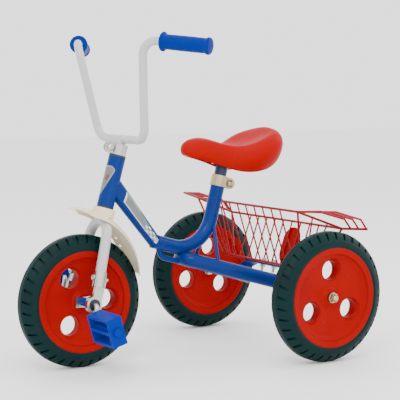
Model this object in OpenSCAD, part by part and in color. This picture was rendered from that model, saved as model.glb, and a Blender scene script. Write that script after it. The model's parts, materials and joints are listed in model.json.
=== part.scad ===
// Children's tricycle: bent steel tube frame, three moulded wheels with rubber
// tyres, front mudguard, rod crank with block pedals, height-adjustable saddle
// and a wire basket behind it.
// X points forward, Y to the rider's left, Z up. The origin is on the ground,
// midway between the axles.

/* [Wheels] */
// Distance between the front and the rear axle
wheelbase = 424; // [400:1:510]
// Distance between the middles of the two rear wheels
track = 437; // [364:1:525]
// Outer diameter of the tyres
wheel_d = 254; // [244:1:306]
// Width of the tyres
tyre_w = 50; // [42:1:54]
// Diameter of the wheel rim under the tyre
rim_d = 192; // [180:1:200]
// Width of the wheel hubs
hub_w = 32; // [26:1:38]
// Outer diameter of the wheel hubs
hub_d = 34; // [28:1:40]
// Wall thickness of the moulded wheel halves
wheel_wall = 3; // [2.5:0.5:4]
// Diameter of the three holes in each wheel
wheel_hole_d = 38; // [30:1:40]
// Distance of those holes from the axle
wheel_hole_r = 52; // [50:1:54]
// Number of tread grooves round each shoulder of a tyre
tread_n = 36; // [24:1:44]
// Diameter of the rear axle
axle_d = 10; // [8:1:12]
// Outer diameter of the hub bushes
bush_d = 16; // [14:1:20]

/* [Frame] */
// Diameter of the seat post
seat_post_d = 25.4; // [22:0.1:28]
// Wall thickness of the frame tubes
tube_wall = 1.5; // [1.2:0.1:2]
// Distance of the foot of the seat tube ahead of the rear axle
seat_foot_x = 145; // [130:1:160]
// Height of the foot of the seat tube above the axles
seat_foot_z = 68.6; // [60:0.2:80]
// Backward lean of the seat tube
seat_lean = 15; // [10:0.5:20]
// Length of the seat tube from its foot
seat_tube_len = 162; // [135:1:195]
// Bend radius of the main tube
main_bend_r = 72; // [60:1:80]
// Length of the forward leg of the main tube from the foot
main_leg_len = 118; // [110:1:125]
// Slope of the chassis and of the forward leg of the main tube
chassis_slope = 16.5; // [14:0.5:18]
// Height of the chassis tube above the rear axle
chassis_rise = 7; // [5:0.5:8]
// Distance of the chassis apex ahead of the rear axle, along the slope
chassis_apex = 200; // [195:1:205]
// Half the spread of the chassis legs at the axle
chassis_half_w = 88.6; // [84:0.2:96]
// Angle between a chassis leg and the middle of the frame
chassis_angle = 19.2; // [18:0.2:20]
// Length of the chassis legs behind the axle
chassis_tail = 40; // [36:1:50]
// Diameter of the head tube
head_d = 33; // [31:0.5:38]
// Length of the head tube
head_len = 97; // [85:1:116]
// Distance from the top of the fork crown to the head tube
head_gap = 19; // [18:0.5:26]
// Backward lean of the steering axis
head_lean = 16.2; // [14:0.2:18]
// Height of the down tube at the head and at the foot
down_h = [35, 25]; // [20:1:40]
// Width of the down tube
down_w = 24; // [18:1:26]
// Diameter of the tie bar below the down tube
tie_d = 11; // [8:1:12]
// Diameter of the two seat stays
stay_d = 7; // [5:0.5:9]

/* [Fork and handlebar] */
// Distance of the front axle ahead of the steering axis
fork_offset = 5; // [0:1:10]
// Outer diameter of the fork tube
fork_d = 20; // [18:0.5:21]
// Clearance between the tyre and the fork crown
crown_gap = 20; // [19:0.5:24]
// Bend radius of the fork crown
crown_r = 33; // [31:1:36]
// Outward spread of each fork leg
fork_spread = 9; // [8:0.5:10]
// Height above the axle at which the fork tube ends
fork_end_s = 36; // [32:1:40]
// Outer diameter of the steerer tube
steerer_d = 25; // [22:0.5:26]
// Diameter of the handlebar tube
bar_d = 16; // [14:0.5:19]
// Half the width of the straight foot of the handlebar
bar_foot_w = 86; // [75:1:95]
// Bend radius of the handlebar
bar_bend_r = 30; // [22:1:34]
// Height of the handlebar uprights
bar_rise = 187; // [156:1:224]
// Length of the handlebar ends that carry the grips
bar_end_len = 132; // [118:1:158]
// Length of the grips
grip_len = 96; // [80:1:108]
// Diameter of the grips
grip_d = 28; // [24:1:32]

/* [Crank and pedals] */
// Diameter of the crank rod
crank_d = 10; // [9:0.5:12]
// Crank length
crank_len = 36; // [36:1:44]
// Distance of the crank arms from the middle of the wheel
crank_arm_y = 70.5; // [70:0.5:76]
// Size of a pedal: across the foot, front to back, thickness
pedal = [76, 54, 30]; // [20:1:90]
// Forward turn of the left crank from straight down
crank_turn = 10; // [0:1:20]
// Tilt of the pedals
pedal_tilt = 16; // [0:1:20]

/* [Mudguard] */
// Height of the mudguard's outer face above the tyre's radius
guard_gap = 16.5; // [15:0.5:20]
// Width of the mudguard
guard_w = 68; // [62:1:74]
// Thickness of the mudguard
guard_t = 2.5; // [2:0.5:3]
// Distance of the mudguard's middle ahead of and above the front axle
guard_mid = [17, 36]; // [0:1:60]

/* [Saddle] */
// Height of the saddle base above the top of the seat tube
saddle_lift = 33; // [30:1:60]
// Length of the saddle
saddle_len = 212; // [190:1:255]
// Width of the saddle
saddle_w = 150; // [125:1:180]

/* [Basket] */
// Diameter of the basket's frame wires
rim_wire_d = 5; // [4:0.5:6]
// Diameter of the basket's filling wires
fill_wire_d = 3.2; // [2.5:0.1:4]
// Distance between neighbouring filling wires
wire_pitch = 29.5; // [24:0.5:34]
// Height of the front and of the rear rim above the tops of the rear tyres
rim_over = [11.2, 3.2]; // [0:0.1:30]
// Depth of the basket floor
basket_floor = 29; // [25:1:35]
// Forward lean of the front wall and backward lean of the rear wall, at the rim
basket_flare = [71, 5]; // [0:1:90]
// Half the length of the floor, of the front rim and of the rear rim
basket_half = [138, 177, 192]; // [110:1:230]
// Half the width over the two side wings
wing_half = 243; // [236:1:290]
// Half the flat length of the basket bracket
bracket_half = 61; // [50:1:64]
// Width of the basket bracket
bracket_w = 30; // [26:1:34]

/* [Hidden] */
$fn = 64;

// Radial clearances and gaps
run_fit = 0.05;
post_fit = 0.04;
bolt_fit = 0.2;
gap = 0.3;

axle_z = wheel_d / 2;
rear_x = -wheelbase / 2;
front_x = wheelbase / 2;
main_tube_d = seat_post_d + 2 * post_fit + 2 * tube_wall;
// Heights along the steering axis: middle of the crown tube and foot of the head tube
crown_s = wheel_d / 2 + crown_gap + fork_d / 2;
head_foot = crown_s + fork_d / 2 + head_gap;
guard_r = wheel_d / 2 + guard_gap;

// Colours
frame_blue = "#0a5fc8";
red = "#d80f10";
rubber = "#0d3a36";
white = "#e8ebe8";
cream = "#f2e6c4";
zinc = "#b9b4a2";
black = "#15181a";

// ---- shared geometry -------------------------------------------------------

function unit(v) = v / norm(v);
function half_angle(a, b, c) = acos(unit(a - b) * unit(c - b)) / 2;
// Length that a bend of radius r takes off each leg at corner b
function bend_cut(a, b, c, r) = r / tan(half_angle(a, b, c));

// Matrix that puts Z along a direction, with X as near to hint as it can be
module along(p, dir, hint = [1, 0, 0]) {
    z = unit(dir);
    y = unit(cross(z, abs(z * unit(hint)) > 0.99 ? [0, 1, 0] : hint));
    x = cross(y, z);
    multmatrix([[x[0], y[0], z[0], p[0]], [x[1], y[1], z[1], p[1]], [x[2], y[2], z[2], p[2]]])
        children();
}

module ring(d, bore, h) {
    difference() {
        cylinder(d = d, h = h);
        if (bore > 0) translate([0, 0, -1]) cylinder(d = bore, h = h + 2);
    }
}

module rod(p, q, d, bore = 0) {
    along(p, q - p) ring(d, bore, norm(q - p));
}

// Side towards which a path turns at corner i
function turn_side(p, i) = unit(p[i + 1] - p[i]
    - ((p[i + 1] - p[i]) * unit(p[i] - p[i - 1])) * unit(p[i] - p[i - 1]));
// The same side once the bend at corner i is behind
function after_side(p, i) = unit(p[i - 1] - p[i]
    - ((p[i - 1] - p[i]) * unit(p[i + 1] - p[i])) * unit(p[i + 1] - p[i]));
// Twist about the straight run between the bends at corners i and i + 1
function twist(p, i) = atan2(
    cross(after_side(p, i), turn_side(p, i + 1)) * unit(p[i + 1] - p[i]),
    after_side(p, i) * turn_side(p, i + 1));
function cut_at(p, i, r) = i == 0 || i == len(p) - 1 ? 0
    : bend_cut(p[i - 1], p[i], p[i + 1], r);

// A bend is drawn a hair thicker than the straight runs, which reach a little way into it
lap = 0.3;
swell = 0.1;
// Straight run up to corner i, the bend there and all that follows, along Z
module bent_run(p, i, r, d) {
    straight = norm(p[i] - p[i - 1]) - cut_at(p, i - 1, r) - cut_at(p, i, r);
    before = i > 1 ? lap : 0;
    after = i < len(p) - 1 ? lap : 0;
    translate([0, 0, -before]) cylinder(d = d, h = before + straight + after);
    if (i < len(p) - 1) {
        a = 180 - 2 * half_angle(p[i - 1], p[i], p[i + 1]);
        translate([r, 0, straight]) {
            rotate([90, 0, 180]) rotate_extrude(angle = a) translate([r, 0]) circle(d = d + swell);
            rotate([0, a, 0]) translate([-r, 0, 0])
                rotate([0, 0, i < len(p) - 2 ? twist(p, i) : 0]) bent_run(p, i + 1, r, d);
        }
    }
}
// Tube bent through a list of corner points with one bend radius
module bent_tube(p, r, d, bore = 0) {
    along(p[0], p[1] - p[0], turn_side(p, 1)) difference() {
        bent_run(p, 1, r, d);
        if (bore > 0) bent_run(p, 1, r, bore);
    }
}

module hex_nut(across, h, bore) {
    difference() {
        cylinder(d = across / cos(30), h = h, $fn = 6);
        translate([0, 0, -1]) cylinder(d = bore, h = h + 2);
    }
}

// Places children at the left and mirrored at the right
module both_sides() {
    children();
    mirror([0, 1, 0]) children();
}

// ---- frames of reference ---------------------------------------------------

// Steering axis as Z, with the front axle at X = fork_offset
function steer(p) = [front_x, 0, axle_z] + [
    (p[0] - fork_offset) * cos(head_lean) - p[2] * sin(head_lean),
    p[1],
    (p[0] - fork_offset) * sin(head_lean) + p[2] * cos(head_lean)];
module steer_frame() {
    translate(steer([0, 0, 0])) rotate([0, -head_lean, 0]) children();
}

// Chassis plane as XY, above the rear axle
chassis_at = [rear_x, 0, axle_z + chassis_rise];
function on_chassis(p) = chassis_at + [
    p[0] * cos(chassis_slope) - p[2] * sin(chassis_slope),
    p[1],
    p[0] * sin(chassis_slope) + p[2] * cos(chassis_slope)];
module chassis_frame() {
    translate(chassis_at) rotate([0, -chassis_slope, 0]) children();
}

// Seat tube axis as Z, from the foot of the seat tube
seat_foot = [rear_x + seat_foot_x, 0, axle_z + seat_foot_z];
seat_up = [-sin(seat_lean), 0, cos(seat_lean)];
seat_top = seat_foot + seat_tube_len * seat_up;
module seat_frame() {
    translate(seat_top) rotate([0, -seat_lean, 0]) children();
}

// ---- frame -----------------------------------------------------------------

main_front = seat_foot + main_leg_len * [cos(chassis_slope), 0, sin(chassis_slope)];
slit = 2;
slit_h = 20;

main_cut = bend_cut(main_front, seat_foot, seat_top, main_bend_r);
leg_dir_x = [cos(chassis_slope), 0, sin(chassis_slope)];
module seat_tube() {
    color(frame_blue) difference() {
        rod(seat_foot + main_cut * seat_up, seat_top, main_tube_d, main_tube_d - 2 * tube_wall);
        seat_frame() translate([-main_tube_d, -slit / 2, -slit_h])
            cube([main_tube_d, slit, slit_h + 1]);
    }
}
module main_bend() {
    color(frame_blue) main_bow(main_tube_d, main_tube_d - 2 * tube_wall);
}
module main_bow(d, bore) {
    along(seat_foot + main_cut * leg_dir_x, -leg_dir_x, seat_up) translate([main_bend_r, 0, 0])
        rotate([90, 0, 180]) rotate_extrude(angle = 180 - 2 * half_angle(main_front, seat_foot,
            seat_top)) translate([main_bend_r, 0]) difference() {
                circle(d = d);
                if (bore > 0) circle(d = bore);
            }
}
module main_leg() {
    color(frame_blue) difference() {
        rod(seat_foot + main_cut * leg_dir_x, main_front + 20 * leg_dir_x, main_tube_d,
            main_tube_d - 2 * tube_wall);
        mitre() cube([200, 200, 200]);
    }
}
module seat_tube_space() {
    rod(seat_foot, seat_top, main_tube_d);
}

// Plane of the joint between the main tube and the down tube
down_top = steer([0, 0, head_foot + head_len * 0.48]);
down_dir = unit(down_top - main_front);
module mitre() {
    a = atan2(down_dir[2] + sin(chassis_slope), down_dir[0] + cos(chassis_slope));
    translate(main_front) rotate([0, -a, 0]) translate([0, -100, -100]) children();
}

module oval(w, h) {
    translate([-h / 2 + w / 2, 0]) circle(d = w, $fn = 32);
    translate([h / 2 - w / 2, 0]) circle(d = w, $fn = 32);
}

module down_tube() {
    color(frame_blue) difference() {
        hull() {
            along(main_front - 20 * down_dir, down_dir) linear_extrude(1)
                oval(down_w, down_h[1]);
            along(down_top, down_dir) linear_extrude(1) oval(down_w, down_h[0]);
        }
        mitre() translate([-200, 0, 0]) cube([200, 200, 200]);
        steer_frame() translate([0, 0, head_foot - 20]) cylinder(d = head_d, h = head_len + 40);
    }
}

tie_drop = 33;
tie_from = main_front - 4 * leg_dir_x;
tie_corner = main_front + [-17, 0, -tie_drop];
tie_to = on_chassis([chassis_apex - 6, 0, -8]);
module tie_bar() {
    color(frame_blue) difference() {
        bent_tube([tie_from, tie_corner, tie_to], 15, tie_d);
        rod(seat_foot, main_front + 40 * leg_dir_x, main_tube_d);
        chassis_bow_ring(main_tube_d, 0);
    }
}

chassis_tip = chassis_half_w / tan(chassis_angle);
chassis_bend_r = (chassis_tip - chassis_apex) / (1 / sin(chassis_angle) - 1);
chassis_end = chassis_half_w + chassis_tail * tan(chassis_angle);
chassis_cut = chassis_bend_r / tan(chassis_angle);
chassis_knee = [chassis_tip - chassis_cut * cos(chassis_angle), chassis_cut * sin(chassis_angle), 0];
// Rounded front of the chassis, and one of its straight legs
module chassis_bow_ring(d, bore) {
    chassis_frame() translate([chassis_apex - chassis_bend_r, 0, 0])
        rotate([0, 0, chassis_angle - 90]) rotate_extrude(angle = 180 - 2 * chassis_angle)
            translate([chassis_bend_r, 0]) difference() {
                circle(d = d);
                if (bore > 0) circle(d = bore);
            }
}
module chassis_leg(d, bore) {
    chassis_frame() rod(chassis_knee, [-chassis_tail, chassis_end, 0], d, bore);
}
module axle_hole(d) {
    translate([rear_x, -track, axle_z]) rotate([-90, 0, 0]) cylinder(d = d, h = 2 * track);
}
module chassis_bow() {
    color(frame_blue) difference() {
        chassis_bow_ring(main_tube_d, main_tube_d - 2 * tube_wall);
        main_bow(main_tube_d, 0);
        rod(seat_foot + main_cut * leg_dir_x, main_front, main_tube_d);
    }
}
module chassis_leg_left() {
    color(frame_blue) difference() {
        chassis_leg(main_tube_d, main_tube_d - 2 * tube_wall);
        axle_hole(axle_d + 2 * bolt_fit);
        main_bow(main_tube_d, 0);
    }
}
module chassis_leg_right() {
    mirror([0, 1, 0]) chassis_leg_left();
}
module chassis_plugs() {
    dir = [-cos(chassis_angle), sin(chassis_angle), 0];
    color(black) both_sides() chassis_frame()
        rod([-chassis_tail, chassis_end, 0], [-chassis_tail, chassis_end, 0] + 3 * dir,
            main_tube_d - 0.5);
}

stay_top = seat_foot + 68 * seat_up;
stay_foot = on_chassis([144, 43.5, 8]);
module seat_stays() {
    color(frame_blue) difference() {
        both_sides() rod(stay_foot, stay_top + [-4, 5, 4], stay_d);
        seat_tube_space();
        both_sides() chassis_leg(main_tube_d, 0);
    }
}

bracket_t = 3;
bracket_top = main_tube_d / 2 + 18.5;
bracket_x = 2.4 - bracket_w;
bolt_y = 19.5;
m6 = 6;
module basket_bracket() {
    drop = 11;
    side = 22;
    shin = [bracket_half + side, bracket_top - drop];
    foot = main_tube_d / 2 - 1;
    color(frame_blue) difference() {
        chassis_frame() translate([bracket_x, 0, 0]) rotate([90, 0, 90]) linear_extrude(bracket_w)
            polygon([
                [-bracket_half, bracket_top], [bracket_half, bracket_top],
                shin, [shin[0], foot + bracket_t], [shin[0] + 18, foot + bracket_t],
                [shin[0] + 18, foot], [shin[0] - bracket_t, foot],
                [shin[0] - bracket_t, shin[1] - 1], [bracket_half - 1, bracket_top - bracket_t],
                [1 - bracket_half, bracket_top - bracket_t], [bracket_t - shin[0], shin[1] - 1],
                [bracket_t - shin[0], foot], [-shin[0] - 18, foot],
                [-shin[0] - 18, foot + bracket_t], [-shin[0], foot + bracket_t],
                [-shin[0], shin[1]]]);
        both_sides() chassis_leg(main_tube_d, 0);
        chassis_frame() for (y = [-bolt_y, bolt_y]) translate([bolt_x, y, 0])
            cylinder(d = m6 + 2 * bolt_fit, h = 60);
    }
}

cup_flange = 3.5;
cup_depth = 12;
head_bore = steerer_d + 5;
module head_tube() {
    color(frame_blue) steer_frame() translate([0, 0, head_foot]) ring(head_d, head_bore, head_len);
}
module head_cup() {
    difference() {
        union() {
            translate([0, 0, -cup_flange]) cylinder(d = head_d, h = cup_flange);
            cylinder(d = head_bore, h = cup_depth);
        }
        translate([0, 0, -10]) cylinder(d = steerer_d + 2 * run_fit, h = 40);
    }
}
module head_cups() {
    color(black) steer_frame() {
        translate([0, 0, head_foot]) head_cup();
        translate([0, 0, head_foot + head_len]) mirror([0, 0, 1]) head_cup();
    }
}

// ---- rear axle -------------------------------------------------------------

hub_out = track / 2 + hub_w / 2;
hub_in = track / 2 - hub_w / 2;
flange_t = 1.5;
washer_t = 1.5;
lock_nut_h = 8;
acorn_h = 8;
module at_axle(x, y) {
    translate([x, y, axle_z]) rotate([-90, 0, 0]) children();
}
module rear_axle() {
    half = hub_out + flange_t + gap + washer_t + acorn_h - 1;
    color(zinc) at_axle(rear_x, -half) cylinder(d = axle_d, h = 2 * half);
}
module axle_washers() {
    color(zinc) both_sides() {
        at_axle(rear_x, hub_out + flange_t + gap) ring(axle_d * 2, axle_d + 2 * bolt_fit, washer_t);
        at_axle(rear_x, hub_in - flange_t - gap - washer_t)
            ring(axle_d * 2, axle_d + 2 * bolt_fit, washer_t);
    }
}
module axle_lock_nuts() {
    color(zinc) both_sides()
        at_axle(rear_x, hub_in - flange_t - gap - washer_t - lock_nut_h)
            hex_nut(axle_d * 1.7, lock_nut_h, axle_d);
}
module acorn_nuts() {
    across = axle_d * 1.6;
    dome = axle_d * 0.7;
    color(zinc) both_sides() at_axle(rear_x, hub_out + flange_t + gap + washer_t) difference() {
        union() {
            cylinder(d = across / cos(30), h = acorn_h - 2, $fn = 6);
            translate([0, 0, acorn_h - 2]) intersection() {
                sphere(r = dome);
                cylinder(r = dome, h = dome);
            }
        }
        translate([0, 0, -1]) cylinder(d = axle_d, h = acorn_h);
    }
}

// ---- seat ------------------------------------------------------------------

clamp_h = 22;
clamp_t = 2;
m8 = 8;
ear_x = 25;
// Band clamp with a slit and two ears, round a tube along Z
module band_clamp(bore, h, t, ear) {
    difference() {
        union() {
            cylinder(d = bore + 2 * t, h = h);
            translate([0, -slit / 2 - 4, 0]) cube([ear, slit + 8, h]);
            translate([ear, 0, h / 2]) rotate([90, 0, 0])
                cylinder(d = h, h = slit + 8, center = true);
        }
        translate([0, 0, -1]) cylinder(d = bore, h = h + 2);
        translate([0, -slit / 2, -1]) cube([2 * ear, slit, h + 2]);
        translate([ear, 0, h / 2]) rotate([90, 0, 0])
            cylinder(d = m8 + 2 * bolt_fit, h = 40, center = true);
    }
}
// Bolt across the ears, its head on the left
module ear_bolt(ear, z) {
    head = slit / 2 + 4;
    translate([ear, head, z]) rotate([90, 0, 0]) cylinder(d = m8, h = 2 * head + 8);
    translate([ear, head, z]) rotate([-90, 0, 0]) cylinder(d = m8 * 1.7, h = 3);
    translate([ear, head + 3, z]) rotate([-90, 0, 0]) cylinder(d1 = m8 * 1.7, d2 = m8 * 0.9, h = 2.5);
}
module ear_nut(ear, z) {
    translate([ear, -slit / 2 - 4, z]) rotate([90, 30, 0]) hex_nut(13, 6.5, m8);
}
module seat_clamp() {
    color(zinc) seat_frame() translate([0, 0, -clamp_h]) rotate([0, 0, 180])
        band_clamp(main_tube_d, clamp_h, clamp_t, ear_x);
}
module seat_clamp_bolt() {
    color(zinc) seat_frame() translate([0, 0, -clamp_h / 2]) ear_bolt(-ear_x, 0);
}
module seat_clamp_nut() {
    color(zinc) seat_frame() translate([0, 0, -clamp_h / 2]) ear_nut(-ear_x, 0);
}

post_in = seat_tube_len - main_cut - 3;
saddle_base = seat_top[2] + saddle_lift * cos(seat_lean);
post_x = seat_top[0] - saddle_lift * sin(seat_lean);
base_t = 3;
module seat_post() {
    color(frame_blue) difference() {
        seat_frame() translate([0, 0, -post_in])
            ring(seat_post_d, seat_post_d - 4, post_in + saddle_lift + 20);
        translate([post_x - 50, -50, saddle_base - base_t]) cube([100, 100, 100]);
    }
}
saddle_bolt_x = [-22, 22];
module saddle_bracket() {
    color(black) difference() {
        translate([post_x - 30, -17, saddle_base - base_t]) cube([68, 34, base_t]);
        for (x = saddle_bolt_x) translate([post_x + x, 0, saddle_base - 10])
            cylinder(d = m6 + 2 * bolt_fit, h = 20);
    }
}
module saddle_bolts() {
    color(zinc) for (x = saddle_bolt_x) translate([post_x + x, 0, saddle_base]) {
        translate([0, 0, -base_t]) cylinder(d = m6, h = 15);
        translate([0, 0, -base_t - 4]) cylinder(d = 11, h = 4);
    }
}
// Pair of round lobes: share of the length behind the nose, share of the width to each
// side, height above the base and radius
module saddle_ball(x, y, z, r) {
    nose = post_x + 100;
    for (s = [-1, 1]) translate([nose - x * saddle_len, s * y * saddle_w, saddle_base + z])
        sphere(r = r, $fn = 36);
}
module saddle_nose() {
    saddle_ball(0.083, 0.002, 28, 17);
}
module saddle_neck() {
    saddle_ball(0.40, 0.05, 15, 20);
}
module saddle_seat() {
    saddle_ball(0.60, 0.26, 6, 28);
}
module saddle_tail() {
    saddle_ball(0.845, 0.25, 34, 32);
}
module saddle() {
    color(red) difference() {
        union() {
            hull() {
                saddle_nose();
                saddle_neck();
            }
            hull() {
                saddle_neck();
                saddle_seat();
            }
            hull() {
                saddle_seat();
                saddle_tail();
            }
        }
        translate([post_x - 33, -20, saddle_base - 60]) cube([74, 40, 60]);
        for (x = saddle_bolt_x) translate([post_x + x, 0, saddle_base - 5])
            cylinder(d = m6, h = 5 + 12);
    }
}

// ---- basket ----------------------------------------------------------------

floor_w = bracket_top + rim_wire_d / 2;
basket_h = [for (over = rim_over) wheel_d / 2 + over - floor_w];
floor_front = 12.4;
rim_front = floor_front + basket_flare[0];
rim_rear = floor_front - basket_floor - basket_flare[1];
// Corner points of the left end, on the chassis plane's axes
fb = [floor_front, basket_half[0], floor_w];
rb = [floor_front - basket_floor, basket_half[0], floor_w];
ft = [rim_front, basket_half[1], floor_w + basket_h[0]];
rt = [rim_rear, basket_half[2], floor_w + basket_h[1]];
function flip(p) = [p[0], -p[1], p[2]];
wire_n = floor(basket_half[0] / wire_pitch);

module wall(b, t) {
    rod(flip(b), b, rim_wire_d);
    rod(flip(t), t, rim_wire_d);
    for (i = [-wire_n : wire_n]) {
        y = i * wire_pitch;
        rod([b[0], y, b[2]], [t[0], y, t[2]], fill_wire_d);
    }
}
module basket_front() {
    color(red) chassis_frame() wall(fb, ft);
}
module basket_rear() {
    color(red) chassis_frame() wall(rb, rt);
}
module basket_floor_wires() {
    color(red) chassis_frame() difference() {
        for (i = [-wire_n : wire_n]) rod([rb[0], i * wire_pitch, floor_w],
            [fb[0], i * wire_pitch, floor_w], fill_wire_d);
        rod(flip(fb), fb, rim_wire_d);
        rod(flip(rb), rb, rim_wire_d);
    }
}
// Rod between two points, cut short by the same length at both ends
module short_rod(p, q, d, cut) {
    u = unit(q - p);
    rod(p + cut * u, q - cut * u, d);
}
module basket_end() {
    rod(fb, rb, rim_wire_d);
    rod(ft, rt, rim_wire_d);
    short_rod(fb, ft, rim_wire_d - 0.6, 1.3);
    short_rod(rb, rt, rim_wire_d - 0.6, 1.3);
    for (k = [0.33, 0.67]) short_rod(fb + k * (rb - fb), ft + k * (rt - ft), fill_wire_d, 0.9);
}
module basket_ends() {
    color(red) chassis_frame() both_sides() basket_end();
}
// Flared wing beyond one end: two bars that run outwards and three bent wires across them
wing_out = wing_half - rim_wire_d / 2;
wing_front = [ft[0] - 4, wing_out, ft[2] + 7];
wing_rear = [rt[0] - 20, wing_out, rt[2] + 8.5];
function onward(p, q, more) = q + more * unit(q - p);
module wing_bars(start) {
    for (b = [[ft, wing_front], [rt, wing_rear]])
        rod(onward(b[1], b[0], -start), onward(b[0], b[1], 2), rim_wire_d);
}
// Wire kinked at each point, with every run carried just past the kink
module kinked_wire(p, d) {
    for (i = [0 : len(p) - 2]) {
        u = unit(p[i + 1] - p[i]);
        rod(i == 0 ? p[0] + 0.7 * u : p[i] - 0.3 * d * u,
            i == len(p) - 2 ? p[i + 1] - 0.7 * u : p[i + 1] + 0.3 * d * u, i % 2 == 1 ? d + 0.3 : d);
    }
}
module basket_wing() {
    wing_bars(1.8);
    for (k = [0.36, 0.68, 1]) {
        f = ft + k * (wing_front - ft);
        r = rt + k * (wing_rear - rt);
        crest = wing_front[2] + 8 * k;
        side = (r[1] - f[1]) / (f[0] - r[0]);
        kinked_wire([f, [f[0] - 36, f[1] + 36 * side, crest], [r[0] + 20, r[1] - 20 * side, crest],
            r], fill_wire_d + 0.8);
    }
}
module basket_wing_left() {
    color(red) chassis_frame() basket_wing();
}
module basket_wing_right() {
    color(red) chassis_frame() mirror([0, 1, 0]) basket_wing();
}
badge_y = 40;
module basket_badge() {
    lean = atan2(basket_flare[1], basket_h[1]);
    color(red) chassis_frame() translate([(rb[0] + rt[0]) / 2 - fill_wire_d / 2 - 0.2, badge_y,
            floor_w + basket_h[1] / 2 - 4]) rotate([0, -90 - lean, 0]) linear_extrude(2) {
        translate([13, 0]) circle(d = 54);
        translate([-13, 0]) circle(d = 54);
        square([26, 54], center = true);
    }
}
// The bolts pass just ahead of the rear bottom wire
bolt_x = rb[0] + rim_wire_d / 2 + gap + m6 / 2;
module on_bracket_bolts() {
    chassis_frame() for (y = [-bolt_y, bolt_y])
        translate([bolt_x, y, bracket_top]) children();
}
module basket_bolts() {
    washer_z = rim_wire_d;
    color(zinc) on_bracket_bolts() {
        translate([0, 0, -16]) cylinder(d = m6, h = 16 + washer_z);
        translate([0, 0, washer_z]) cylinder(d = 18, h = 1.5);
        translate([0, 0, washer_z + 1.5]) cylinder(d = 11, h = 4);
    }
}
module basket_nuts() {
    color(zinc) on_bracket_bolts() translate([0, 0, -bracket_t - 5]) hex_nut(10, 5, m6);
}

// ---- fork and steering -----------------------------------------------------

// Fork leg: half distance of its middle from the middle of the wheel at height s
function leg_y(s) = crown_r * cos(fork_spread)
    + (crown_s - crown_r + crown_r * sin(fork_spread) - s) * tan(fork_spread);
fork_wall = 1.5;
leg_foot = [0, leg_y(fork_end_s), fork_end_s];
leg_dir = [0, -sin(fork_spread), cos(fork_spread)];
module fork_bend(d, bore) {
    knee = [0, leg_y(crown_s), crown_s];
    bent_tube([leg_foot, knee, flip(knee), flip(leg_foot)], crown_bend_r, d, bore);
}
// Slightly under the crown radius, which leaves a short level run between the two bends
crown_bend_r = 0.98 * crown_r;
module fork_tube() {
    color(white) steer_frame() difference() {
        fork_bend(fork_d, fork_d - 2 * fork_wall);
        fork_screw_holes();
    }
}
screw_s = fork_end_s + 14;
m5 = 5;
module fork_screw_holes() {
    both_sides() translate([-50, leg_y(screw_s), screw_s]) rotate([0, 90, 0])
        cylinder(d = m5 + 2 * bolt_fit, h = 100);
}

race_d = 35;
guard_top_s = head_foot - cup_flange - gap;
race_s = guard_top_s - 3;
stem_h = 21;
steerer_top = head_foot + head_len + cup_flange + gap + stem_h;
steerer_bore = steerer_d - 4;
module steerer_tube() {
    color(zinc) steer_frame() difference() {
        union() {
            translate([0, 0, crown_s]) cylinder(d = race_d, h = race_s - crown_s);
            translate([0, 0, crown_s]) cylinder(d = steerer_d, h = steerer_top - crown_s);
        }
        fork_bend(fork_d, 0);
        translate([0, 0, race_s]) cylinder(d = steerer_bore, h = 300);
        translate([0, -slit / 2, steerer_top - slit_h]) cube([50, slit, slit_h + 1]);
    }
}

// Mudguard: arched shell turned about its own middle
module guard_frame() {
    translate([front_x + guard_mid[0], 0, axle_z + guard_mid[1]]) rotate([90, 0, 0]) children();
}
guard_sag = 14;
arch_r = (pow(guard_w / 2, 2) + pow(guard_sag, 2)) / (2 * guard_sag);
guard_from = 87;
guard_to = 177;
module guard_profile() {
    intersection() {
        translate([guard_r - arch_r, 0]) difference() {
            circle(r = arch_r, $fn = 96);
            circle(r = arch_r - guard_t, $fn = 96);
        }
        translate([guard_r - guard_sag, -guard_w / 2]) square([guard_sag + 1, guard_w]);
    }
}
module mudguard() {
    color(cream) difference() {
        union() {
            guard_frame() rotate([0, 0, guard_from])
                rotate_extrude(angle = guard_to - guard_from, $fn = 96) guard_profile();
            steer_frame() translate([0, 0, race_s - 14]) cylinder(d = race_d + 7, h = 17);
        }
        steer_frame() translate([0, 0, race_s - 60])
            cylinder(d = race_d + 2 * bolt_fit, h = 60);
        steer_frame() translate([0, 0, 0]) cylinder(d = steerer_d + 2 * bolt_fit, h = 300);
        // pointed front end
        guard_frame() for (m = [0, 1]) mirror([0, 0, m]) rotate([0, 0, guard_from])
            translate([guard_r - 40, 0, 0]) rotate([-52, 0, 0]) translate([0, -120, -2])
                cube([80, 120, 160]);
        // row of round holes along each rear edge
        guard_frame() for (m = [0, 1]) mirror([0, 0, m]) for (a = [138 : 8 : 162])
            rotate([0, 0, a]) translate([guard_r - 24, 0, guard_w / 2 - 8])
                rotate([0, 90, 0]) cylinder(d = 6, h = 30);
    }
}

// Bearing bracket at the foot of each fork leg
fork_end_y = 50;
fork_end_w = 10;
crank_bush_d = crank_d + 8;
module fork_end() {
    steer_frame() difference() {
        union() {
            rod(leg_foot - 3 * leg_dir, leg_foot + 26 * leg_dir, fork_d + 5);
            translate([-10, fork_end_y, 0]) cube([20, 6, screw_s - 4]);
            translate([fork_offset, fork_end_y, 0]) rotate([-90, 0, 0])
                cylinder(d = crank_bush_d + 14, h = fork_end_w);
        }
        rod(leg_foot, leg_foot + 60 * leg_dir, fork_d);
        translate([fork_offset, 0, 0]) rotate([-90, 0, 0]) cylinder(d = crank_bush_d, h = 100);
        fork_screw_holes();
    }
}
module fork_ends() {
    color(zinc) both_sides() fork_end();
}
screw_x = fork_d / 2 + 2.5;
module fork_screws() {
    color(zinc) both_sides() steer_frame() translate([0, leg_y(screw_s), screw_s])
        rotate([0, -90, 0]) {
            translate([0, 0, -screw_x]) cylinder(d = m5, h = 2 * screw_x + 5);
            translate([0, 0, -screw_x - 3]) cylinder(d = 10, h = 3);
        }
}
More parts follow.
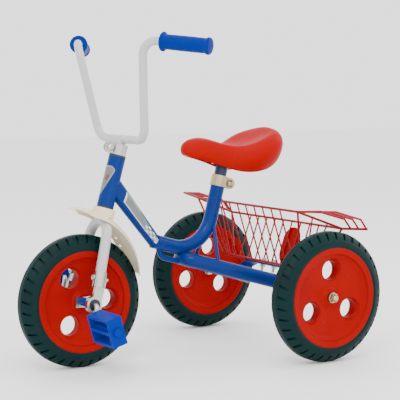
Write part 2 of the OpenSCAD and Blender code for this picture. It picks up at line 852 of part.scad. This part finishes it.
module fork_nuts() {
    color(zinc) both_sides() steer_frame() translate([-screw_x, leg_y(screw_s), screw_s])
        rotate([0, -90, 0]) hex_nut(8, 4, m5);
}
module crank_bushes() {
    color(black) both_sides() steer_frame() translate([fork_offset, fork_end_y, 0])
        rotate([-90, 0, 0]) difference() {
            union() {
                cylinder(d = crank_bush_d, h = fork_end_w);
                translate([0, 0, fork_end_w]) cylinder(d = crank_bush_d + 4, h = 1.5);
            }
            translate([0, 0, -1]) cylinder(d = crank_d + 2 * run_fit, h = 20);
        }
}

stem_ear = 22;
stem_s = steerer_top - stem_h;
bar_s = steerer_top + 3 + bar_d / 2;
module stem_clamp() {
    color(zinc) steer_frame() translate([0, 0, stem_s]) band_clamp(steerer_d, stem_h, 3, stem_ear);
}
module stem_bolt() {
    color(zinc) steer_frame() translate([0, 0, stem_s + stem_h / 2]) ear_bolt(stem_ear, 0);
}
module stem_nut() {
    color(zinc) steer_frame() translate([0, 0, stem_s + stem_h / 2]) ear_nut(stem_ear, 0);
}

// Handlebar corner points, left side, on the steering axes
bar_foot = [0, bar_foot_w, bar_s];
bar_knee = bar_foot + bar_rise * [0.4226, 0.2217, 0.9186];
bar_tip_dir = unit([-0.551, 0.839, 0.056]);
bar_tip = bar_knee + bar_end_len * bar_tip_dir;
bar_path = [bar_tip, bar_knee, bar_foot, flip(bar_foot), flip(bar_knee), flip(bar_tip)];
module handlebar() {
    color(white) steer_frame() {
        bent_tube(bar_path, bar_bend_r, bar_d);
        translate([0, 0, steerer_top - 60]) cylinder(d = steerer_bore - 2 * post_fit,
            h = bar_s - steerer_top + 60.5);
    }
}
grip_over = 4;
module grip() {
    along(bar_tip + grip_over * bar_tip_dir, -bar_tip_dir) difference() {
        union() {
            translate([0, 0, 3]) cylinder(d = grip_d, h = grip_len - 6);
            cylinder(d1 = grip_d - 2, d2 = grip_d + 4, h = 3);
            translate([0, 0, 3]) cylinder(d = grip_d + 4, h = 5);
            translate([0, 0, grip_len - 4]) cylinder(d = grip_d + 8, h = 4);
        }
        translate([0, 0, grip_over]) cylinder(d = bar_d, h = grip_len);
    }
}
module grip_left() {
    color(frame_blue) steer_frame() grip();
}
module grip_right() {
    color(frame_blue) mirror([0, 1, 0]) steer_frame() grip();
}

// ---- wheels ----------------------------------------------------------------

rim_r = rim_d / 2;
half_w = tyre_w / 2;
hub_r = hub_d / 2;
groove_r = rim_r - 14;
// One moulded half: hub, dished face, lip and tyre seat, with its joint face at Z = 0
module wheel_half(bore) {
    t = wheel_wall;
    face = hub_w / 2;
    difference() {
        union() {
            rotate_extrude() polygon([
                [bore / 2, 0], [hub_r, 0], [hub_r, face - t - 5], [hub_r + 6, face - t - 7],
                [groove_r - 6, face - t - 3], [groove_r, half_w - t - 6],
                [rim_r - 6, half_w - t], [rim_r - t, half_w - t - 4], [rim_r - t, 0],
                [rim_r, 0], [rim_r, half_w - 6], [rim_r + 1, half_w - 4], [rim_r + 1, half_w - 1],
                [rim_r - 1, half_w], [groove_r + 3, half_w - 1.5], [groove_r + 1, half_w - 5],
                [groove_r - 7, face], [hub_r + 6, face - 6], [hub_r, face - 3],
                [hub_r - 3, face], [bore / 2, face]]);
            at_holes(0) cylinder(d = wheel_hole_d + 2 * t, h = face - 5);
        }
        at_holes(-1) cylinder(d = wheel_hole_d, h = hub_w);
        at_holes(face - 7) cylinder(d1 = wheel_hole_d, d2 = wheel_hole_d + 14, h = 10);
    }
}
module at_holes(z) {
    for (a = [0 : 120 : 240]) rotate([0, 0, a]) translate([wheel_hole_r, 0, z]) children();
}
module tyre() {
    r = wheel_d / 2;
    color(rubber) rotate([90, 0, 0]) difference() {
        rotate_extrude($fn = 96) polygon([
            [rim_r, -half_w + 6], [rim_r + 1, -half_w + 4], [rim_r + 1, -half_w + 1],
            [rim_r + 6, -half_w], [r - 18, -half_w + 2], [r - 9, -half_w + 7],
            [r - 3, -half_w + 13], [r, -half_w + 19],
            [r, half_w - 19], [r - 3, half_w - 13], [r - 9, half_w - 7],
            [r - 18, half_w - 2], [rim_r + 6, half_w], [rim_r + 1, half_w - 1],
            [rim_r + 1, half_w - 4], [rim_r, half_w - 6]]);
        for (m = [0, 1], i = [0 : tread_n - 1]) mirror([0, 0, m])
            rotate([0, 0, (i + m / 2) * 360 / tread_n]) translate([r - 5, 0, half_w - 18])
                rotate([0, -36, 0]) rotate([14, 0, 0]) translate([0, -2.2, 0])
                    cube([16, 4.4, 24]);
    }
}
module at_wheel(x, y) {
    translate([x, y, axle_z]) children();
}
// Whole wheel, its first hole turned up from the front by an angle
module wheel_pair(bore, turn) {
    rotate([0, -turn, 0]) for (m = [0, 1]) mirror([0, m, 0]) rotate([-90, 0, 0]) wheel_half(bore);
}
module front_wheel() {
    color(red) at_wheel(front_x, 0) wheel_pair(crank_d, 60);
}
module front_tyre() {
    at_wheel(front_x, 0) tyre();
}
module rear_wheel(y, turn) {
    color(red) at_wheel(rear_x, y) wheel_pair(bush_d, turn);
}
module rear_wheel_left() {
    rear_wheel(track / 2, 90);
}
module rear_wheel_right() {
    rear_wheel(-track / 2, 100);
}
module rear_tyre_left() {
    at_wheel(rear_x, track / 2) tyre();
}
module rear_tyre_right() {
    at_wheel(rear_x, -track / 2) tyre();
}
// Two flanged bushes, one in each side of the hub
module hub_bushes() {
    for (m = [0, 1]) mirror([0, m, 0]) translate([0, hub_w / 2, 0]) rotate([-90, 0, 0])
        difference() {
            union() {
                translate([0, 0, -hub_w / 2 + 2]) cylinder(d = bush_d, h = hub_w / 2 - 2);
                cylinder(d = bush_d + 5, h = flange_t);
            }
            translate([0, 0, -50]) cylinder(d = axle_d + 2 * run_fit, h = 100);
        }
}
module rear_bushes_left() {
    color(black) at_wheel(rear_x, track / 2) hub_bushes();
}
module rear_bushes_right() {
    color(black) at_wheel(rear_x, -track / 2) hub_bushes();
}

// ---- crank and pedals ------------------------------------------------------

crank_bend_r = 8.2;
pedal_gap = 1;
pedal_in = crank_arm_y + crank_bend_r + pedal_gap;
cap_h = 4;
throw = crank_len * [sin(crank_turn), 0, -cos(crank_turn)];
axle_at = [front_x, 0, axle_z];
function arm_end(s, y) = axle_at + [s * throw[0], s * y, s * throw[2]];
crank_path = [arm_end(1, pedal_in + pedal[0] + cap_h - 1), arm_end(1, crank_arm_y),
    axle_at + [0, crank_arm_y, 0], axle_at - [0, crank_arm_y, 0],
    arm_end(-1, crank_arm_y), arm_end(-1, pedal_in + pedal[0] + cap_h - 1)];
module crank_rod() {
    color(zinc) bent_tube(crank_path, crank_bend_r, crank_d);
}
plate = [36, 20, 3];
module drive_plate() {
    color(zinc) at_axle(front_x, hub_w / 2) difference() {
        translate([-plate[0] / 2, -plate[1] / 2, 0]) cube(plate);
        translate([0, 0, -1]) cylinder(d = crank_d, h = 10);
    }
}
module crank_spacers() {
    side = fork_end_y - gap;
    color(frame_blue) {
        at_axle(front_x, hub_w / 2 + plate[2]) ring(bush_d, crank_d, side - hub_w / 2 - plate[2]);
        at_axle(front_x, -side) ring(bush_d, crank_d, side - hub_w / 2);
    }
}
// Hollow block pedal on a sleeve, its sleeve along Y from the inner end
module pedal_body() {
    wall = 5;
    length = pedal[0];
    rotate([0, pedal_tilt, 0]) difference() {
        union() {
            difference() {
                translate([-pedal[2] / 2, 0, -pedal[1] / 2]) cube([pedal[2], length, pedal[1]]);
                for (z = [-1, 1]) translate([-pedal[2], wall, z > 0 ? 3 : -pedal[1] / 2 + wall])
                    cube([2 * pedal[2], length - 2 * wall, pedal[1] / 2 - 3 - wall]);
            }
            rotate([-90, 0, 0]) cylinder(d = crank_d + 8, h = length);
        }
        translate([0, -1, 0]) rotate([-90, 0, 0]) cylinder(d = crank_d + 2 * run_fit, h = length + 2);
    }
}
module pedal_left() {
    color(frame_blue) translate(arm_end(1, pedal_in)) pedal_body();
}
module pedal_right() {
    color(frame_blue) translate(arm_end(-1, pedal_in)) mirror([0, 1, 0]) pedal_body();
}
module pedal_caps() {
    color(zinc) for (s = [-1, 1]) translate(arm_end(s, pedal_in + pedal[0] + gap))
        rotate([-90 * s, 0, 0]) difference() {
            cylinder(d = crank_d + 6, h = cap_h);
            translate([0, 0, -1]) cylinder(d = crank_d, h = cap_h);
        }
}

head_tube();
down_tube();
seat_tube();
main_bend();
main_leg();
tie_bar();
chassis_bow();
chassis_leg_left();
chassis_leg_right();
seat_stays();
basket_bracket();
head_cups();
rear_axle();
axle_lock_nuts();
axle_washers();
acorn_nuts();
chassis_plugs();
seat_clamp();
seat_clamp_bolt();
seat_clamp_nut();
basket_front();
basket_rear();
basket_floor_wires();
basket_ends();
basket_wing_left();
basket_wing_right();
basket_badge();
basket_bolts();
basket_nuts();
seat_post();
saddle_bracket();
saddle();
saddle_bolts();
fork_tube();
steerer_tube();
mudguard();
fork_ends();
fork_screws();
fork_nuts();
crank_bushes();
stem_clamp();
stem_bolt();
stem_nut();
handlebar();
grip_left();
grip_right();
front_wheel();
front_tyre();
crank_rod();
drive_plate();
crank_spacers();
pedal_left();
pedal_right();
rear_wheel_left();
rear_tyre_left();
rear_bushes_left();
rear_wheel_right();
rear_tyre_right();
rear_bushes_right();
pedal_caps();
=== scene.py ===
import json
import math

import bpy
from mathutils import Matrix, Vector


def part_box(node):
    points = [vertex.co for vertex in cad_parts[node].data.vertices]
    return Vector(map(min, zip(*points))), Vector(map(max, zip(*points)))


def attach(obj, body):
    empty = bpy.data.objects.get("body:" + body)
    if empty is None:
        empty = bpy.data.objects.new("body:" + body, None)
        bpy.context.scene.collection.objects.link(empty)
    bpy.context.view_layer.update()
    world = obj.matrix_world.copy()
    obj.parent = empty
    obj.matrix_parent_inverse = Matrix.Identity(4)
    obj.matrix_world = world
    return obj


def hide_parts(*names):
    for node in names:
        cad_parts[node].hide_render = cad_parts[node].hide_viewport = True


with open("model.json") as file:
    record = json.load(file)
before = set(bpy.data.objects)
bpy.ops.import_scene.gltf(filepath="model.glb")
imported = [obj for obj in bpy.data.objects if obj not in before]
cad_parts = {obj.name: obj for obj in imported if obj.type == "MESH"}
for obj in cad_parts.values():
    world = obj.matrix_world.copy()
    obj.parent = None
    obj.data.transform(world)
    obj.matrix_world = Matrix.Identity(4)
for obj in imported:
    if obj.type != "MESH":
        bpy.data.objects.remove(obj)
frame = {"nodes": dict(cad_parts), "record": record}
NODES = frame["nodes"]
SLOT_OF = {s["node"]: s["material_slot"] for s in frame["record"]["subparts"]}

# ---- materials ----
# each noise is a scale, a detail and, where it is stretched, a stretch along x, y and z
DRIFT_NOISE = (9, 3)
MARK_NOISE = (420, 6, (1, 1, 0.25))
ROUGH_NOISE = (35, 4)
GRAIN_DETAIL = 2
MARK_EDGE = 0.03
MARK_STRENGTH = 0.8
ROUGH_SPREAD = 0.12
LEAST_ROUGH = 0.03
COAT_ROUGH = 0.08
RELIEF = 0.001
MIX_COLOURS = (6, 7)
MIX_RESULT = 2


def material(name, colour, rough, metal=0.0, coat=0.0, spot=None, spot_at=0.72, tone=0.10,
             grain=90.0, bump=0.05, level=0.5):
    """Procedural finish: a tone that drifts, roughness that varies, fine relief and small marks."""
    finish = bpy.data.materials.new(name)
    finish.use_nodes = True
    tree = finish.node_tree
    shader = tree.nodes["Principled BSDF"]
    shader.inputs["Metallic"].default_value = metal
    shader.inputs["Coat Weight"].default_value = coat
    shader.inputs["Coat Roughness"].default_value = COAT_ROUGH
    shader.inputs["Specular IOR Level"].default_value = level
    coords = tree.nodes.new("ShaderNodeTexCoord")

    def noise(scale, detail, stretch=(1, 1, 1)):
        mapping = tree.nodes.new("ShaderNodeMapping")
        mapping.inputs["Scale"].default_value = stretch
        texture = tree.nodes.new("ShaderNodeTexNoise")
        texture.inputs["Scale"].default_value = scale
        texture.inputs["Detail"].default_value = detail
        tree.links.new(coords.outputs["Object"], mapping.inputs["Vector"])
        tree.links.new(mapping.outputs["Vector"], texture.inputs["Vector"])
        return texture.outputs["Fac"]

    def ramp(source, start, end, low, high):
        span = tree.nodes.new("ShaderNodeMapRange")
        span.inputs["From Min"].default_value = start
        span.inputs["From Max"].default_value = end
        span.inputs["To Min"].default_value = low
        span.inputs["To Max"].default_value = high
        tree.links.new(source, span.inputs["Value"])
        return span.outputs["Result"]

    def mix(share, first, second):
        blend = tree.nodes.new("ShaderNodeMix")
        blend.data_type = "RGBA"
        tree.links.new(share, blend.inputs["Factor"])
        for socket, value in zip(MIX_COLOURS, (first, second)):
            if isinstance(value, tuple):
                blend.inputs[socket].default_value = (*value, 1)
            else:
                tree.links.new(value, blend.inputs[socket])
        return blend.outputs[MIX_RESULT]

    dark = tuple(c * (1 - tone) for c in colour)
    drift = mix(ramp(noise(*DRIFT_NOISE), 0.35, 0.65, 0, 1), dark, colour)
    marks = ramp(noise(*MARK_NOISE), spot_at, spot_at + MARK_EDGE, 0, MARK_STRENGTH)
    worn = spot or tuple(min(1, c * 0.6 + 0.05) for c in colour)
    tree.links.new(mix(marks, drift, worn), shader.inputs["Base Color"])
    smooth = max(LEAST_ROUGH, rough - ROUGH_SPREAD / 2)
    rough_out = ramp(noise(*ROUGH_NOISE), 0.3, 0.7, smooth, rough + ROUGH_SPREAD / 2)
    tree.links.new(rough_out, shader.inputs["Roughness"])
    relief = tree.nodes.new("ShaderNodeBump")
    relief.inputs["Strength"].default_value = bump
    relief.inputs["Distance"].default_value = RELIEF
    tree.links.new(noise(grain, GRAIN_DETAIL), relief.inputs["Height"])
    tree.links.new(relief.outputs["Normal"], shader.inputs["Normal"])
    return finish


MATS = {
    "blue_paint": material("blue_paint", (0.0, 0.019, 0.14), 0.26, coat=0.05, bump=0.02, level=0.10),
    "black_post": material("black_post", (0.002, 0.010, 0.045), 0.30, coat=0.1, bump=0.02, level=0.3),
    "white_paint": material("white_paint", (0.42, 0.435, 0.42), 0.32, coat=0.2, tone=0.05, bump=0.02),
    "red_wire": material("red_wire", (0.25, 0.0, 0.002), 0.36, level=0.2),
    "red_plastic": material("red_plastic", (0.27, 0.0, 0.0), 0.44, tone=0.14, bump=0.04, level=0.05),
    "saddle_red": material("saddle_red", (0.33, 0.0, 0.0), 0.40, tone=0.06, bump=0.02, level=0.05),
    "tyre_rubber": material("tyre_rubber", (0.0, 0.014, 0.014), 0.50, tone=0.3, grain=260, bump=0.18,
                            spot=(0.006, 0.026, 0.026), level=0.10),
    "grip_blue": material("grip_blue", (0.0, 0.017, 0.19), 0.45, grain=300, bump=0.06, level=0.06),
    "pedal_blue": material("pedal_blue", (0.0, 0.019, 0.24), 0.38, grain=200, bump=0.05, level=0.06),
    "cream_plastic": material("cream_plastic", (0.74, 0.63, 0.42), 0.38, tone=0.06, bump=0.03),
    "black_plastic": material("black_plastic", (0.005, 0.007, 0.009), 0.45, tone=0.2),
    "yellow_zinc": material("yellow_zinc", (0.46, 0.38, 0.22), 0.36, metal=1.0, tone=0.3, bump=0.08,
                            spot=(0.24, 0.19, 0.11), spot_at=0.66),
    "bright_zinc": material("bright_zinc", (0.50, 0.51, 0.48), 0.30, metal=1.0, tone=0.25, bump=0.06,
                            spot=(0.22, 0.21, 0.19), spot_at=0.68),
}
DECAL = material("decal_grey", (0.12, 0.14, 0.13), 0.34, coat=0.2, tone=0.25, bump=0.01)
DECAL_EDGE = material("decal_silver", (0.50, 0.52, 0.52), 0.30, coat=0.2, tone=0.1, bump=0.01)
BADGE_EDGE = material("badge_edge", (0.22, 0.22, 0.18), 0.34, coat=0.2, tone=0.1, bump=0.01)
DECAL_RED = material("decal_red", (0.16, 0.02, 0.02), 0.34, coat=0.2, bump=0.01)
SHARP_FROM = math.radians(32)

# the pedals' end caps are blue plastic, whatever metal their slot names
for name, node in NODES.items():
    node.data.materials.clear()
    node.data.materials.append(MATS["pedal_blue" if name == "pedal_caps" else SLOT_OF[name]])
    for face in node.data.polygons:
        face.use_smooth = True
    node.data.set_sharp_from_angle(angle=SHARP_FROM)


# ---- how a piece is made ----
def piece(name, verts, faces, mat, body, subdiv=0):
    """Smooth mesh object that moves with a body and stands in a material slot."""
    mesh = bpy.data.meshes.new(name)
    mesh.from_pydata([tuple(v) for v in verts], [], faces)
    mesh.validate()
    mesh.materials.append(mat)
    for face in mesh.polygons:
        face.use_smooth = True
    o = bpy.data.objects.new(name, mesh)
    bpy.context.scene.collection.objects.link(o)
    if subdiv:
        rounding = o.modifiers.new("round", "SUBSURF")
        rounding.levels = rounding.render_levels = subdiv
    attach(o, body)
    return o


def band_faces(rings, around):
    """Faces from each ring of points to the next, for rings with the same number of points."""
    faces = []
    for i in range(rings - 1):
        for k in range(around):
            a = i * around + k
            b = i * around + (k + 1) % around
            faces.append((a, b, b + around, a + around))
    return faces


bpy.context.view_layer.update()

# ---- camera, light, floor ----
YAW, PITCH = -2.147, -0.095
CAMERA_AT = (1.4006, 2.2494, 0.5606)
SENSOR = 36
LENS = 121.3
STUDIO_STRENGTH = 2.1
WHITE = (1, 1, 1, 1)
FLOOR_REACH = 8
FLOOR_DROP = 0.0006
CORNERS = ((-1, -1), (1, -1), (1, 1), (-1, 1))
# name, place, aim, size and power
LIGHTS = (
    ("key", (1.6, 1.6, 2.4), (0, 0, 0.3), 1.2, 46),
    ("fill", (0.4, 3.0, 0.9), (0, 0, 0.3), 2.0, 12),
    ("rim", (-2.2, 0.6, 1.8), (0, 0, 0.3), 1.6, 22),
    ("top", (0, 0, 3.0), (0, 0, 0), 2.6, 18),
)


def aim(o, way):
    o.rotation_euler = way.to_track_quat("-Z", "Y").to_euler()


cam = bpy.data.objects.new("camera", bpy.data.cameras.new("camera"))
bpy.context.scene.collection.objects.link(cam)
cam.location = CAMERA_AT
level_share = math.cos(PITCH)
aim(cam, Vector((level_share * math.cos(YAW), level_share * math.sin(YAW), math.sin(PITCH))))
cam.data.sensor_width = SENSOR
cam.data.lens = LENS
bpy.context.scene.camera = cam

for name, place, target, size, power in LIGHTS:
    lamp = bpy.data.lights.new(name, "AREA")
    lamp.size = size
    lamp.energy = power
    o = bpy.data.objects.new(name, lamp)
    bpy.context.scene.collection.objects.link(o)
    o.location = place
    aim(o, Vector(target) - Vector(place))

world = bpy.data.worlds.new("studio")
bpy.context.scene.world = world
world.use_nodes = True
world.node_tree.nodes["Background"].inputs["Color"].default_value = WHITE
world.node_tree.nodes["Background"].inputs["Strength"].default_value = STUDIO_STRENGTH

floor_mesh = bpy.data.meshes.new("floor")
floor_points = [(x * FLOOR_REACH, y * FLOOR_REACH, -FLOOR_DROP) for x, y in CORNERS]
floor_mesh.from_pydata(floor_points, [], [(0, 1, 2, 3)])
floor = bpy.data.objects.new("floor", floor_mesh)
bpy.context.scene.collection.objects.link(floor)
FLOOR_WHITE = material("floor_white", (0.93, 0.93, 0.93), 0.6, tone=0.01, bump=0.0, spot=(0.92, 0.92, 0.92))
floor_mesh.materials.append(FLOOR_WHITE)

# ---- saddle ----
saddle_low, saddle_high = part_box("saddle")
NOSE, BASE = saddle_high.x, saddle_low.z
MM = 1000
# stations from nose to tail, in millimetres behind the nose and above the base: top point,
# bottom point, half width, dish and crown as shares of the height, hollow underneath
STATIONS = [
    ((1, 50), (1, 40), 7, 0.0, 0.3, 0.0),
    ((6, 60), (4, 33), 14, 0.0, 0.25, 0.0),
    ((22, 67.5), (20, 27), 20.5, 0.0, 0.2, 0.1),
    ((48, 69), (48, 19), 24, 0.0, 0.15, 0.2),
    ((76, 60), (80, 8), 31, 0.0, 0.12, 0.35),
    ((102, 53), (108, -2), 45, 0.04, 0.08, 0.35),
    ((124, 53), (134, -6), 60, 0.09, 0.02, 0.35),
    ((145, 60), (160, -4), 71, 0.13, 0.0, 0.35),
    ((163, 71), (184, 4), 75, 0.14, 0.05, 0.35),
    ((179, 81), (203, 18), 72, 0.10, 0.14, 0.3),
    ((193, 87), (215, 36), 61, 0.04, 0.24, 0.2),
    ((204, 87), (220, 52), 43, 0.0, 0.3, 0.0),
    ((213, 80), (221, 64), 20, 0.0, 0.3, 0.0),
]
# half of a cross section, as shares of the half width and of the height from the top
SECTION = [(0.30, 0), (0.58, 0), (0.78, 0.0), (0.92, 0.06), (1.0, 0.22), (0.99, 0.40), (0.94, 0.58),
           (0.84, 0.77), (0.70, 0.91), (0.60, 0.97)]
DISH_HALF = 0.78
HOLLOW_HALF = 0.45
HOLLOW_SHOULDER = 0.8
FLAT_HALF = 0.35
NOSE_CAP_Z = 0.045
TAIL_CAP_X = 0.2215
TAIL_CAP_Z = 0.071


def saddle_point(station, across, down):
    (top_x, top_z), (low_x, low_z), half_width = station[:3]
    behind = (top_x + (low_x - top_x) * down) / MM
    above = (top_z + (low_z - top_z) * down) / MM
    return (NOSE - behind, across * half_width / MM, BASE + above)


def saddle_ring(station):
    """Cross section of a station: over the top, round the left edge, underneath and back."""
    dish, crown, hollow = station[3:]
    ring = [(0, dish)]
    for a, f in SECTION:
        ring.append((a, f + dish * max(0, 1 - (a / DISH_HALF) ** 2) + crown * a * a * (1 - f)))
    ring.append((HOLLOW_HALF, 1 - hollow * HOLLOW_SHOULDER) if hollow else (FLAT_HALF, 1.0))
    ring.append((0, 1 - hollow))
    return ring + [(-a, f) for a, f in ring[-2:0:-1]]


def saddle():
    rings = [[saddle_point(s, a, f) for a, f in saddle_ring(s)] for s in STATIONS]
    around = len(rings[0])
    verts = [point for ring in rings for point in ring]
    faces = band_faces(len(rings), around)
    last = len(verts) - around
    front_cap = len(verts)
    back_cap = front_cap + 1
    verts += [(NOSE, 0, BASE + NOSE_CAP_Z), (NOSE - TAIL_CAP_X, 0, BASE + TAIL_CAP_Z)]
    for k in range(around):
        following = (k + 1) % around
        faces.append((front_cap, following, k))
        faces.append((back_cap, last + k, last + following))
    o = piece("saddle_moulding", verts, faces, MATS["saddle_red"], "seat", subdiv=2)
    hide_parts("saddle")


saddle()

# ---- steering axes: the foot of the steering line, ahead, left and up along it ----
LEAN = math.radians(16.2)
OFFSET = 0.005
AXLE = Vector((0.212, 0, 0.127))
FOOT = AXLE + Vector((-OFFSET * math.cos(LEAN), 0, -OFFSET * math.sin(LEAN)))
AHEAD = Vector((math.cos(LEAN), 0, math.sin(LEAN)))
UP = Vector((-math.sin(LEAN), 0, math.cos(LEAN)))
LEFT = Vector((0, 1, 0))


def steer(x, y, z):
    return FOOT + AHEAD * x + LEFT * y + UP * z


def grid(name, rows, cols, at, mats, body, pick):
    """Sheet of rows by cols cells: at(u, v) gives a point and pick(i, j) the material of a cell."""
    verts = [at(i / rows, j / cols) for i in range(rows + 1) for j in range(cols + 1)]
    w = cols + 1
    faces = [(i * w + j, i * w + j + 1, (i + 1) * w + j + 1, (i + 1) * w + j)
             for i in range(rows) for j in range(cols)]
    o = piece(name, verts, faces, mats[0], body)
    for mat in mats[1:]:
        o.data.materials.append(mat)
    for k, face in enumerate(o.data.polygons):
        face.material_index = pick(k // cols, k % cols)


# ---- head badge: a plain drop shape on the front of the head tube ----
BADGE_ROWS, BADGE_COLS = 26, 20
BADGE_R = 0.0165 + 0.0003
BADGE_FOOT = 0.206
BADGE_TALL = 0.057
# half widths in degrees round the head tube, broadest at BADGE_BROAD of the height
BADGE_HALF = 68
BADGE_LEAST = 2
BADGE_BROAD = 0.86
BADGE_DRAW_IN = 26
BADGE_TAPER = 0.8


def badge_at(u, v):
    if u < BADGE_BROAD:
        half = BADGE_HALF * (u / BADGE_BROAD) ** BADGE_TAPER
    else:
        half = BADGE_HALF - BADGE_DRAW_IN * ((u - BADGE_BROAD) / (1 - BADGE_BROAD)) ** 2
    a = math.radians((v * 2 - 1) * max(half, BADGE_LEAST))
    return steer(BADGE_R * math.cos(a), BADGE_R * math.sin(a), BADGE_FOOT + BADGE_TALL * u)


def badge_cell(i, j):
    if j in (0, BADGE_COLS - 1) or i == BADGE_ROWS - 1:
        return 0
    return 2 if 12 < i < 18 and 11 < j < 17 else 1


grid("head_badge", BADGE_ROWS, BADGE_COLS, badge_at, [BADGE_EDGE, DECAL, DECAL_RED], "frame",
     badge_cell)

# ---- decal along the left side of the down tube ----
START = Vector((0.0461, 0, 0.2291))
HEAD_JOIN = steer(0, 0, 0.2326)
ALONG = (HEAD_JOIN - START).normalized()
ACROSS = Vector((-ALONG.z, 0, ALONG.x))
RUN = (HEAD_JOIN - START).length
TUBE_TALL = 0.025
TUBE_GROWS = 0.010
TUBE_R = 0.012
DECAL_R = TUBE_R + 0.00015
DECAL_ROWS, DECAL_COLS = 48, 12
DECAL_LOW = -0.0065
DECAL_TALL = 0.0185
DECAL_FIRST = -0.001
DECAL_LENGTH = 0.118
DECAL_SLANT = 0.010
EDGE_ROWS = 2
CHEQUER_ROWS = 18
CHEQUER_CELL = 3


def decal_at(u, v):
    height = DECAL_LOW + DECAL_TALL * v
    along = DECAL_FIRST + DECAL_LENGTH * u + DECAL_SLANT * (v - 0.5) * u
    flat = (TUBE_TALL + TUBE_GROWS * along / RUN) / 2 - TUBE_R
    if abs(height) <= flat:
        out, up = DECAL_R, height
    else:
        a = (abs(height) - flat) / TUBE_R
        out, up = DECAL_R * math.cos(a), math.copysign(flat + DECAL_R * math.sin(a), height)
    return START + ALONG * along + ACROSS * up + LEFT * out


def decal_cell(i, j):
    if min(i, DECAL_ROWS - 1 - i) < EDGE_ROWS or j in (0, DECAL_COLS - 1):
        return 0
    if i < CHEQUER_ROWS:
        return (i // CHEQUER_CELL + j // CHEQUER_CELL) % 2
    return 1


grid("down_tube_decal", DECAL_ROWS, DECAL_COLS, decal_at, [DECAL_EDGE, DECAL], "frame",
     decal_cell)

# ---- grips: ribbed sleeves with a flange at the inner end ----
LATHE_STEPS = 40
LATHE_SHARP = math.radians(50)
# the handlebar in steering axes: its level middle, the arm that rises from it, the end that turns out
BAR_HEIGHT = 0.186 + 0.097 + 0.0035 + 0.0003 + 0.021 + 0.003 + 0.008
BAR_HALF = 0.086
ARM_WAY = (0.4226, 0.2217, 0.9186)
ARM_LENGTH = 0.187
END_WAY = Vector((-0.551, 0.839, 0.056)).normalized()
END_LENGTH = 0.132 + 0.004
# profiles as distance from the outer end and radius
GRIP_CAP = [(0, 0.001), (0, 0.0125), (0.0008, 0.0142), (0.0022, 0.0156), (0.0045, 0.0159),
            (0.0065, 0.0156), (0.008, 0.0145), (0.010, 0.0139)]
GRIP_FLANGE = [(0.0885, 0.0138), (0.0905, 0.0150), (0.0915, 0.0172), (0.0925, 0.0180),
               (0.0945, 0.0180), (0.0958, 0.0172), (0.096, 0.0155), (0.096, 0.0081)]
GRIP_R = 0.0138
RIBS = 36
RIB_FIRST = 0.0115
RIB_PITCH = 0.0021
RIB_TALL = 0.00018
GRIP_BELLY = 0.0003


def lathe(name, start, axis, profile, mat, body):
    z = axis.normalized()
    x = z.orthogonal().normalized()
    y = z.cross(x)
    verts = []
    for d, r in profile:
        for k in range(LATHE_STEPS):
            a = 2 * math.pi * k / LATHE_STEPS
            verts.append(start + z * d + (x * math.cos(a) + y * math.sin(a)) * r)
    o = piece(name, verts, band_faces(len(profile), LATHE_STEPS), mat, body)
    o.data.set_sharp_from_angle(angle=LATHE_SHARP)
    return o


def grip(side, name):
    ahead, left, up = (share * ARM_LENGTH for share in ARM_WAY)
    knee = steer(ahead, BAR_HALF + left, BAR_HEIGHT + up)
    out = AHEAD * END_WAY.x + LEFT * END_WAY.y + UP * END_WAY.z
    tip = knee + out * END_LENGTH
    ribs = []
    for k in range(RIBS):
        belly = GRIP_BELLY * math.sin(math.pi * k / (RIBS - 1))
        ribs.append((RIB_FIRST + k * RIB_PITCH, GRIP_R + RIB_TALL * (k % 2) + belly))
    tip.y *= side
    out.y *= side
    profile = GRIP_CAP + ribs + GRIP_FLANGE
    o = lathe("grip_sleeve_" + name, tip, -out, profile, MATS["grip_blue"], "fork")
    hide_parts("grip_" + name)


grip(1, "left")
grip(-1, "right")
